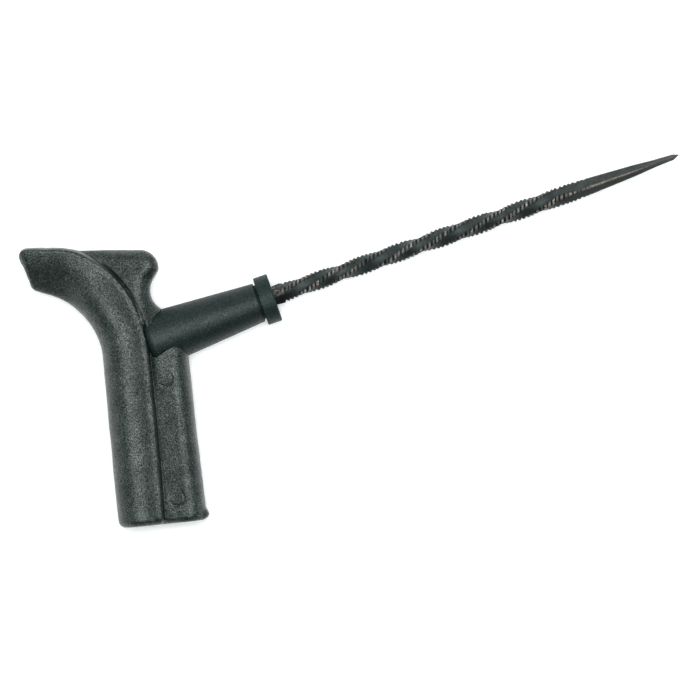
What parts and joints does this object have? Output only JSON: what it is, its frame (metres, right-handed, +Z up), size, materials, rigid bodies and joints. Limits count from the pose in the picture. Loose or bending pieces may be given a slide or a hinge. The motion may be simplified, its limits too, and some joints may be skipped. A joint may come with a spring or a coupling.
{
  "type": "tyre plug tool",
  "caption": "Pistol-grip tyre plug tool lying on its side: moulded handle, tapered barrel with nose collar, twisted toothed steel probe with a drawn-out point.",
  "frame": {"origin": "centre of the collar's front face, on the probe's axis", "axes": "+X along the probe towards its tip; -Y towards the grip; +Z square to the tool's flat side, so the tool lies on a table with Z up"},
  "size_m": [0.2294, 0.1105, 0.02],
  "materials": {
    "handle_nylon": "moulded glass-filled nylon, coarse fine-grained skin, satin",
    "barrel_plastic": "moulded, finer and smoother skin than the handle",
    "collar_plastic": "plain matt, crisp edges",
    "probe_steel": "blackened steel, worn bright on the tooth tips and at the point"
  },
  "bodies": {
    "root": {"handle": "handle_nylon", "barrel": "barrel_plastic", "collar": "collar_plastic", "rasp_probe": "probe_steel"}
  },
  "joints": []
}
